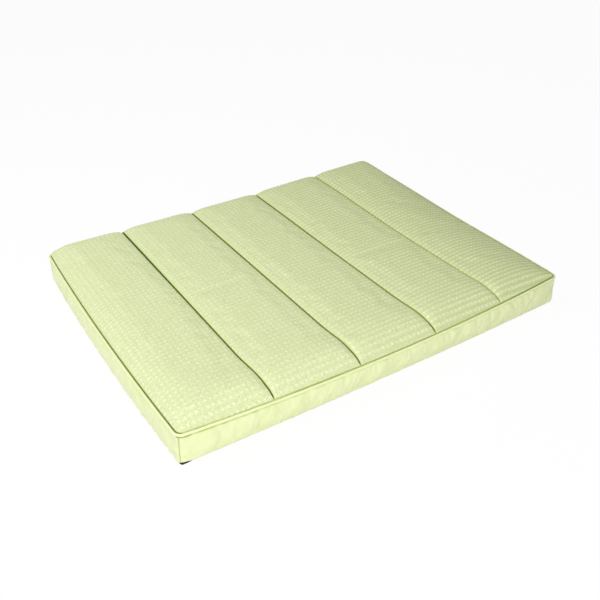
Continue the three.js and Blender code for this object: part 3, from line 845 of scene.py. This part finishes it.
def band(
    name, first, last, low=band_bottom, high=band_top, ends=True, bulge=band_bulge, fold=usual_fold, seed=1
):
    """A side band between two stations and two heights, with puckers along its seams. It comes with
    its outer sheet of points, from the low edge up."""
    fine_stations, fine_travel = spaced_stations(first, last, 0.25 * MM)
    whole = fine_travel[-1]
    travel = np.linspace(0, whole, int(whole / (2 * MM)))
    travel = np.sort(np.concatenate([travel, near_end, whole - near_end]))
    stations = np.interp(travel, fine_travel, fine_stations)
    shares = near_edge / (high - low)
    shares = shares[shares < 0.48]
    shares = np.concatenate([shares, [0.5], (1 - shares)[::-1]])
    from_end = np.minimum(travel, whole - travel)
    at_seam = fading(from_end, seam_turn_reach) if ends else 0 * travel
    heights = low + shares * (high - low)
    swell = np.zeros((len(heights), len(travel), 3))
    if bulge:
        coarse_travel = np.linspace(0, whole, int(whole / (4 * MM)))
        coarse_heights = np.linspace(low, high, 13)
        coarse_stations = np.interp(coarse_travel, fine_travel, fine_stations)
        swell = band_swell(coarse_stations, coarse_travel, coarse_heights, bulge, travel, heights)
    outer, inner, crease = [], [], []
    for z, moved in zip(heights, swell):
        up = share_up(z)
        placed = plumb(stations, up)
        place, out = outline(placed, up), outward(placed, up)
        from_top, from_base = (1 - up) * band_tall, up * band_tall
        gather = math.exp(-from_top / pucker_reach_top)
        gather += pucker_share_base * math.exp(-from_base / pucker_reach_base)
        puckers = ripple(travel, 0.5 * z, seed, pucker_size) * pucker_height * gather
        folds = ripple(travel, 1.6 * z, seed + 7, fold_size) * fold * math.sin(math.pi * up)
        curl = curl_depth * fading(from_top, curl_reach)
        turn = turn_depth * fading(from_base, turn_reach)
        level = np.clip(from_end / (4 * MM), 0, 1)
        stand = bulge * bulge_at(travel, whole, up) + (puckers + folds) * level - curl - turn
        stand = stand - seam_turn_depth * at_seam
        height = z - sag(stations) * up**2 + short_band * front_left(place) * (1 - up) ** 4
        for sheet, back in ((outer, 0), (inner, band_thickness)):
            spot = place + out * (stand - back)[:, None]
            sheet.append(np.column_stack([spot, height]) + moved)
        # Painted shade in the seam under the corded edge and beside the end seams.
        top_shade = under_cord(place) * fading(from_top, cord_shade_reach)
        crease.append(np.clip(top_shade + seam_side_shade * at_seam, 0, 1))
    cloth = np.stack(np.meshgrid(travel, heights), -1)
    outer = np.array(outer)
    return shell(name, outer, np.array(inner), satin, cloth, np.array(crease)), outer


# Corded edge


def edge_rings(section, wobble):
    """Rings of a section, given as places out and up from the cord's middle, at all the stations."""
    stations, travel = spaced_stations(0, 8, 3 * MM)
    stations, travel = stations[:-1], travel[:-1]
    place, out = outline(stations, 1.0), outward(stations, 1.0)
    uneven = ripple(travel, 0, 5, 26 * MM) * wobble
    swell = 1 + ripple(travel, 0, 11, 14 * MM) * wobble / piping_radius
    rings = []
    for reach, height in section:
        spot = place + out * (reach * swell - piping_setback)[:, None]
        rings.append(np.column_stack([spot, piping_height + height * swell + uneven - sag(stations)]))
    return np.swapaxes(np.array(rings), 0, 1), travel


def arc(radius, first, last, steps):
    """Places on an arc about the cord's middle, out and up from it."""
    angles = np.linspace(first, last, steps)
    return [(radius * math.cos(a), radius * math.sin(a)) for a in angles]


def corded_edge():
    """The folded strip round the cord, with its two allowances reaching in under the top."""
    bore = piping_radius - piping_ply
    tail_half, slit_half = piping_ply + 0.2 * MM, 0.2 * MM
    tail_end = piping_setback - piping_tail
    outside = math.pi - math.asin(tail_half / piping_radius)
    inside = math.pi - math.asin(slit_half / bore)
    section = arc(piping_radius, -outside, outside, 19)
    section += [(tail_end, tail_half), (tail_end, slit_half)]
    section += arc(bore, inside, -inside, 13)
    section += [(tail_end, -slit_half), (tail_end, -tail_half)]
    rings, travel = edge_rings(section, cord_wave)
    made = loop_tube("corded_edge", rings, satin, travel)
    paint_shade(made, np.zeros(len(made.data.vertices)))
    return made


def cord_inside():
    """The twisted cord that fills the corded edge."""
    cord_radius = piping_radius - piping_ply - 0.3 * MM
    rings, travel = edge_rings(arc(cord_radius, 0, 2 * math.pi, 13)[:-1], 0)
    return loop_tube("piping_core", rings, cotton, travel)


def cast_piece(name):
    """A copy of a cast metal piece of the zip with its edges rounded off."""
    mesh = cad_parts[name].data.copy()
    shape = bmesh.new()
    shape.from_mesh(mesh)
    bmesh.ops.remove_doubles(shape, verts=shape.verts, dist=0.001 * MM)
    bmesh.ops.dissolve_limit(shape, angle_limit=math.radians(1), verts=shape.verts, edges=shape.edges)
    sharp = [edge for edge in shape.edges if edge.calc_face_angle(0) > math.radians(30)]
    rounding = {"offset": cast_rounding, "segments": 3, "profile": 0.5, "clamp_overlap": True}
    bmesh.ops.bevel(shape, geom=sharp, affect="EDGES", **rounding)
    shape.to_mesh(mesh)
    shape.free()
    mesh.materials.clear()
    mesh.materials.append(zinc)
    return put(name + "_cast", mesh)


def zip_tape(label):
    """A woven zip tape behind its coil, a little wavy, with rounded selvedges."""
    low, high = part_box(f"zip_tape_{label}")
    xs = np.linspace(high.x, low.x, 260)
    shares = np.array([0, 0.03, 0.1, 0.3, 0.5, 0.7, 0.9, 0.97, 1])
    thin = 0.3 * (2 * np.abs(shares - 0.5)) ** 8
    wave = ripple(xs, 0, 31, 30 * MM) * cord_wave
    depth = high.y - low.y
    outer, inner = [], []
    for share, slim in zip(shares, thin):
        z = np.full(len(xs), low.z + share * (high.z - low.z))
        outer.append(np.column_stack([xs, high.y - slim * depth + wave, z]))
        inner.append(np.column_stack([xs, low.y + slim * depth + wave, z]))
    cloth = np.stack(np.meshgrid(xs, shares * (high.z - low.z)), -1)
    outer, inner = np.array(outer), np.array(inner)
    return shell(f"woven_tape_{label}", outer, inner, tape_cloth, cloth, np.zeros(outer.shape[:2]))


# Base and inner pieces


def filled(name, profile, finish, shown=0.0):
    """A flat body that fills the outline: rings at insets and heights, closed at two poles."""
    corded = spaced_stations(0, 8, 6 * MM)[0][:-1]
    count = len(corded)
    rings = []
    for inset, shrink, height in profile:
        up = np.clip(share_up(height), 0, 1)
        stations = plumb(corded, up)
        place, out = outline(stations, up), outward(stations, up)
        inset = inset - shown * front_left(place)[:, None]
        rings.append(np.column_stack([(place - out * inset) * shrink, np.full(count, height)]))
    index = numbered(len(rings), count)
    after = np.roll(index, -1, 1)
    faces = np.stack([index[:-1], after[:-1], after[1:], index[1:]], -1).reshape(-1, 4).tolist()
    bottom, top = index.size, index.size + 1
    faces += [[bottom, b, a] for a, b in zip(index[0], after[0])]
    faces += [[top, a, b] for a, b in zip(index[-1], after[-1])]
    poles = [[0, 0, profile[0][2]], [0, 0, profile[-1][2]]]
    return add_mesh(name, np.concatenate(rings + [poles]), faces, finish)


def base_cloth():
    """The non-slip base: a thick coated cloth with a turned edge."""
    low, high = base_low.z + 0.25 * MM, base_high.z
    shrinks = np.linspace(0.1, 0.97, 9)
    edge = ((2.6, low), (2.0, low + 0.25 * MM), (1.8, (low + high) / 2))
    edge += ((2.0, high - 0.25 * MM), (2.6, high))
    profile = [(0, s, low) for s in shrinks]
    profile += [(inset * MM, 1, height) for inset, height in edge]
    profile += [(0, s, high) for s in shrinks[::-1]]
    return filled("non_slip_base", profile, oxford, shown=2.6 * MM)


def foam_block():
    """The foam core: a cut block with softened edges, a little crowned, that fills the cover."""
    low, high = foam_low.z, foam_high.z
    shrinks = np.linspace(0.08, 0.94, 12)
    inset = band_thickness + 3.0 * MM
    side = ((3, low), (1, low + MM), (0, low + 3 * MM), (-0.4, (low + high) / 2))
    side += ((0, high - 5 * MM), (1.5, high - 3.2 * MM), (4, high - 2.6 * MM))
    profile = [(inset, s, low) for s in shrinks]
    profile += [(inset + step * MM, 1, height) for step, height in side]
    profile += [(inset, s, high - 2.6 * MM * s**4) for s in shrinks[::-1]]
    return filled("foam_block", profile, foam)


def layer(name, first, last, low, high, finish):
    """An inner layer of the quilt between two heights, each a function of the place."""
    step = 4 * MM
    reach_u, reach_v = rim_half_length - 22 * MM, rim_half_depth - 22 * MM
    first, last = max(first, -reach_u), min(last, reach_u)
    us = np.linspace(first, last, int((last - first) / step) + 2)
    vs = np.linspace(-reach_v, reach_v, int(2 * reach_v / step) + 2)
    u, v = np.meshgrid(us, vs)
    x, y = quilt_plan(u, v)
    outer = np.stack([x, y, high(u, v)], -1)
    inner = np.stack([x, y, low(u, v)], -1)
    return shell(name, outer, inner, finish, np.stack([u, v], -1), np.zeros(u.shape))


def level(height):
    """A flat layer's height at any place."""
    return lambda u, v: 0 * u + height


def lifted(height):
    """The height of a layer that is flat in the middle and drops towards the rim."""
    rim = band_top + 1.7 * MM
    return lambda u, v: rim + rim_rise(u, v) * (height - rim)


def swollen(height, crown, seam_half):
    """The height of a layer that swells in each channel and thins out towards its seams."""

    def place(u, v):
        middle = np.clip((seam_distance(u) - seam_half) / (channel_width / 2 - seam_half), 0, 1)
        return height + rim_rise(u, v) * crown * (1 - (1 - middle) ** 4)

    return place


def wadding_roof(u, v):
    """The upper side of the wadding, just under the quilted top."""
    return quilt_height(u, v) - fabric_thickness - 0.4 * MM - 2 * MM * seam_nearness(u) ** 20


def inner_layers():
    """Backing, wadding, the gel and the films that hold it."""
    ends = (-half_length, half_length)
    wadding_base = top_high.z - fabric_thickness - seat_gap - wadding_thickness
    backing_top = wadding_base - seat_gap
    backing_base = backing_top - backing_thickness
    film = film_high.z - film_low.z
    crown = film_crown.z - film_high.z - film - seat_gap
    over = film_high.z + seat_gap
    backing = layer("backing_cloth", *ends, lifted(backing_base), lifted(backing_top), fleece)
    hold(backing, "cover", "fleece", "quilt_backing")
    films = (
        ("lower", level(film_low.z), level(film_high.z)),
        ("upper", swollen(over, crown, 3 * MM), swollen(over + film, crown, 3 * MM)),
    )
    for label, *sides in films:
        sheet = layer(f"pouch_film_{label}", *ends, *sides, clear_film)
        hold(sheet, "cover", "pouch_film", f"gel_pouch_{label}_film")
    edges = [-half_length] + seam_xs + [half_length]
    for k, (first, last) in enumerate(zip(edges[:-1], edges[1:]), 1):
        sides = (first + 5 * MM, last - 5 * MM)
        surface = swollen(gel_low.z - 0.1 * MM, gel_high.z - gel_low.z, 4 * MM)
        pad = layer(f"gel_pad_{k}", *sides, level(gel_low.z - 0.2 * MM), surface, gel)
        hold(pad, "cover", "cooling_gel", f"gel_chamber_{k}")
        strip = layer(f"wadding_{k}", *sides, lifted(wadding_base), wadding_roof, fleece)
        hold(strip, "cover", "fleece", f"wadding_strip_{k}")


# Repeated pieces, made with Geometry Nodes


def repeat_tree(name, sizes):
    """An empty Geometry Nodes tree with named inputs for its sizes."""
    tree = bpy.data.node_groups.new(name, "GeometryNodeTree")
    tree.interface.new_socket("Geometry", in_out="INPUT", socket_type="NodeSocketGeometry")
    for size in sizes:
        tree.interface.new_socket(size, in_out="INPUT", socket_type="NodeSocketFloat")
    tree.interface.new_socket("Material", in_out="INPUT", socket_type="NodeSocketMaterial")
    tree.interface.new_socket("Geometry", in_out="OUTPUT", socket_type="NodeSocketGeometry")
    return tree, node(tree, "NodeGroupInput").node.outputs


def close_tree(tree, given, spots, repeated, **placing):
    """Ends a tree: the piece repeated on its spots becomes real geometry with the given material."""
    placed = {"Points": spots, "Instance": repeated, **placing}
    pieces = node(tree, "GeometryNodeInstanceOnPoints", placed)
    for kind in ("GeometryNodeRealizeInstances", "GeometryNodeSetShadeSmooth"):
        pieces = node(tree, kind, {0: pieces})
    pieces = node(tree, "GeometryNodeSetMaterial", {"Geometry": pieces, "Material": given["Material"]})
    node(tree, "NodeGroupOutput", {0: pieces})
    return tree


def spots_along(tree, given):
    """Points along the given path at each pitch, turned to follow it."""
    path = node(tree, "GeometryNodeMeshToCurve", {"Mesh": given["Geometry"]})
    upright = node(tree, "GeometryNodeSetCurveNormal", {"Curve": path}, mode="Z_UP")
    spacing = {"Curve": upright, "Length": given["Pitch"]}
    return node(tree, "GeometryNodeCurveToPoints", spacing, mode="LENGTH")


def stitch_tree():
    """Stitches along a path: one rounded bead of thread at each pitch."""
    tree, given = repeat_tree("stitches along a path", ["Pitch", "Length", "Width"])
    spots = spots_along(tree, given)
    bead = node(tree, "GeometryNodeMeshUVSphere", {"Segments": 8, "Rings": 6, "Radius": 0.5})
    sizes = {0: given["Width"], 1: given["Width"], 2: given["Length"]}
    size = node(tree, "ShaderNodeCombineXYZ", sizes)
    return close_tree(tree, given, spots, bead, Rotation=spots.node.outputs["Rotation"], Scale=size)


def coil_tree():
    """A zip's coil along a path: flattened turns of monofilament at each pitch."""
    tree, given = repeat_tree("coil turns along a path", ["Pitch", "Width", "Depth", "Wire"])
    spots = spots_along(tree, given)
    circle = node(tree, "GeometryNodeCurvePrimitiveCircle", {"Resolution": 14, "Radius": 0.5})
    size = node(tree, "ShaderNodeCombineXYZ", {0: given["Depth"], 1: given["Width"], 2: 1.0})
    flattened = node(tree, "GeometryNodeTransform", {"Geometry": circle, "Scale": size})
    wire = node(tree, "GeometryNodeCurvePrimitiveCircle", {"Resolution": 6, "Radius": given["Wire"]})
    turn = node(tree, "GeometryNodeCurveToMesh", {"Curve": flattened, "Profile Curve": wire})
    return close_tree(tree, given, spots, turn, Rotation=spots.node.outputs["Rotation"])


def grip_tree():
    """Rubber dots on points: low cones that face down."""
    tree, given = repeat_tree("grip dots on points", ["Radius", "Height"])
    slope = node(tree, "ShaderNodeMath", {0: given["Radius"], 1: 0.6}, operation="MULTIPLY")
    sizes = {"Vertices": 10, "Radius Top": slope, "Radius Bottom": given["Radius"]}
    dot = node(tree, "GeometryNodeMeshCone", {**sizes, "Depth": given["Height"]})
    spots = node(tree, "GeometryNodeMeshToPoints", {"Mesh": given["Geometry"]})
    return close_tree(tree, given, spots, dot, Rotation=(math.pi, 0, 0))


def grown(name, paths, tree, sizes, finish):
    """A plain mesh grown by a tree along paths of points. A path of one point is a point."""
    edges, start = [], 0
    for path in paths:
        edges += [(start + i, start + i + 1) for i in range(len(path) - 1)]
        start += len(path)
    mesh = bpy.data.meshes.new(name + "_path")
    mesh.from_pydata(np.concatenate(paths).tolist(), edges, [])
    source = put(name + "_path", mesh)
    modifier = source.modifiers.new("repeat", "NODES")
    modifier.node_group = tree
    given = {**sizes, "Material": finish}
    for item in tree.interface.items_tree:
        if item.in_out == "INPUT" and item.name in given:
            modifier[item.identifier] = given[item.name]
    evaluated = source.evaluated_get(bpy.context.evaluated_depsgraph_get())
    result = bpy.data.meshes.new_from_object(evaluated)
    result.materials.clear()
    result.materials.append(finish)
    source.modifiers.remove(modifier)
    bpy.data.objects.remove(source)
    return put(name, result)


stitches = stitch_tree()
coil = coil_tree()
grips = grip_tree()


# Building the cover

quilted = hold(top_panel(), "cover", "cooling_fabric", "top_panel")

gap = seat_gap / (math.pi * corner_radius)
straight = 2 * (half_length - corner_radius)
strip_share = 0.5 - zip_half / straight
end_share = 0.5 - (zip_half + seat_gap) / straight
bands = (
    ("front_side", "front_band", -0.5 + gap, 1.5 - gap, {"fold": deep_fold}),
    ("right_side", "right_band", 1.5 + gap, 3.5 - gap, {}),
    ("left_side", "left_band", 5.5 + gap, 7.5 - gap, {"fold": slight_fold}),
    ("back_right_end", "back_band_right_end", 3.5 + gap, 4 + end_share, {"bulge": 0}),
    ("back_left_end", "back_band_left_end", 5 - end_share, 5.5 - gap, {"bulge": 0}),
    ("back_strip_upper", "back_band_upper", 4 + strip_share, 5 - strip_share, {"low": upper_low.z}),
    ("back_strip_lower", "back_band_lower", 4 + strip_share, 5 - strip_share, {"high": lower_high.z}),
)
sheets = {}
for seed, (name, replaced, first, last, change) in enumerate(bands, 21):
    if name.startswith("back_strip"):
        change = {**change, "ends": False, "bulge": 0}
    side, sheets[name] = band(name, first, last, seed=seed, **change)
    hold(side, "cover", "band_fabric", replaced)

hold(corded_edge(), "cover", "band_fabric", "piping_cover")
hold(cord_inside(), "cover", "cotton_cord", "piping_cord")
hold(base_cloth(), "cover", "base_fabric", "base_panel")
core = hold(foam_block(), "cover", "foam", "foam_core")
inner_layers()

# Threads of the quilting seams
for k, seam in enumerate(seam_xs, 1):
    v = np.linspace(-rim_half_depth + 6 * MM, rim_half_depth - 6 * MM, 160)
    u = np.full(v.shape, seam)
    x, y = quilt_plan(u, v)
    depth = crease_depth * crease_start(rim_half_depth - np.abs(v))
    z = quilt_height(u, v) - depth - front_hang(x, v) + 0.1 * MM
    line = [fuller_corner(np.column_stack([x, y, z]))]
    row = grown(f"seam_stitches_{k}", line, stitches, quilting_stitch, seam_thread)
    hold(row, "cover", "thread", f"quilting_thread_{k}")

# Non-slip dots under the base
dot_spots = [
    [(grip_pitch * i, grip_pitch * j, grip_dot["Height"])] for i in range(-20, 21) for j in range(-15, 16)
]
hold(grown("grip_dots", dot_spots, grips, grip_dot, grip_rubber), "cover", "base_fabric")

# Topstitching that holds the back strips to the zip tapes
for name, row in (("back_strip_upper", 3), ("back_strip_lower", -4)):
    line = [sheets[name][row][2:-2] + np.array([0, 0.1 * MM, 0])]
    hold(grown(name + "_topstitch", line, stitches, strip_stitch, pale_thread), "cover", "thread")

# Zip: coil turns on both tapes, and the tapes
for label in ("upper", "lower"):
    low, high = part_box(f"zip_teeth_{label}")
    xs = np.linspace(low.x + 0.4 * MM, high.x - 0.4 * MM, 80)
    line = [np.column_stack([xs, 0 * xs + (low.y + high.y) / 2, 0 * xs + (low.z + high.z) / 2])]
    row = grown(f"coil_{label}", line, coil, coil_turn, coil_nylon)
    hold(row, "cover", "zip_coil", f"zip_teeth_{label}")
    hold(zip_tape(label), "cover", "zip_tape", f"zip_tape_{label}")
for name in ("zip_top_stop_upper", "zip_top_stop_lower", "zip_bottom_stop"):
    hold(cast_piece(name), "cover", "zip_metal", name)
hold(cast_piece("zip_slider"), "slider", "zip_metal", "zip_slider")
hold(cast_piece("zip_pull"), "pull", "zip_metal", "zip_pull")


# Floor, lights and camera


def seen_directly(tree):
    """1 where the camera, a reflection or clear film shows the surface, 0 for all other light."""
    path = node(tree, "ShaderNodeLightPath").node.outputs
    seen = {0: path["Is Camera Ray"], 1: path["Is Glossy Ray"]}
    seen = node(tree, "ShaderNodeMath", seen, operation="MAXIMUM")
    through = {0: seen, 1: path["Is Transmission Ray"]}
    return node(tree, "ShaderNodeMath", through, operation="MAXIMUM")


floor_finish, floor_tree = new_material("studio_paper")[:2]
paper = node(floor_tree, "ShaderNodeBsdfDiffuse", {"Color": linear("#f4f4f2")})
glow = node(floor_tree, "ShaderNodeEmission", {"Color": (1, 1, 1, 1), "Strength": 1.0})
lit_paper = node(floor_tree, "ShaderNodeMixShader", {0: 0.95, 1: paper, 2: glow})
shown = node(floor_tree, "ShaderNodeMixShader", {0: seen_directly(floor_tree), 1: paper, 2: lit_paper})
node(floor_tree, "ShaderNodeOutputMaterial", {"Surface": shown})
floor_half = 6.0
signs = ((-1, -1), (1, -1), (1, 1), (-1, 1))
floor_corners = [(x * floor_half, y * floor_half, 0) for x, y in signs]
floor = add_mesh("floor", floor_corners, [(0, 1, 2, 3)], floor_finish)

world = bpy.data.worlds.new("studio")
bpy.context.scene.world = world
world.use_nodes = True
sky = world.node_tree
sky.nodes.clear()
dim = node(sky, "ShaderNodeBackground", {"Color": (0.985, 1.0, 0.9, 1), "Strength": 0.33})
white = node(sky, "ShaderNodeBackground", {"Color": (1, 1, 1, 1), "Strength": 1.0})
backdrop = node(sky, "ShaderNodeMixShader", {0: seen_directly(sky), 1: dim, 2: white})
node(sky, "ShaderNodeOutputWorld", {"Surface": backdrop})

lamp_size, lamp_colour = 1.0, (0.965, 0.95, 1.0)
lamps = (
    ("front_left_lamp", 15.8, (-0.6, -1.3, 0.9)),
    ("back_left_lamp", 11.0, (-0.8, 0.3, 1.2)),
)
for name, energy, place in lamps:
    lamp = bpy.data.lights.new(name, "AREA")
    lamp.energy = energy
    lamp.size = lamp_size
    lamp.color = lamp_colour
    holder = put(name, lamp)
    holder.location = place
    holder.rotation_euler = (-holder.location).to_track_quat("-Z", "Y").to_euler()

camera_pitch = math.radians(90 - 33.86)
camera_yaw = -math.radians(32.83)
camera_data = bpy.data.cameras.new("camera")
camera_data.sensor_width = 36
camera_data.lens = 43.2
camera = put("camera", camera_data)
camera.location = (-0.5308, -0.8326, 0.6425)
camera.rotation_euler = (camera_pitch, 0, camera_yaw)
bpy.context.scene.camera = camera
bpy.context.scene.view_settings.view_transform = "Standard"
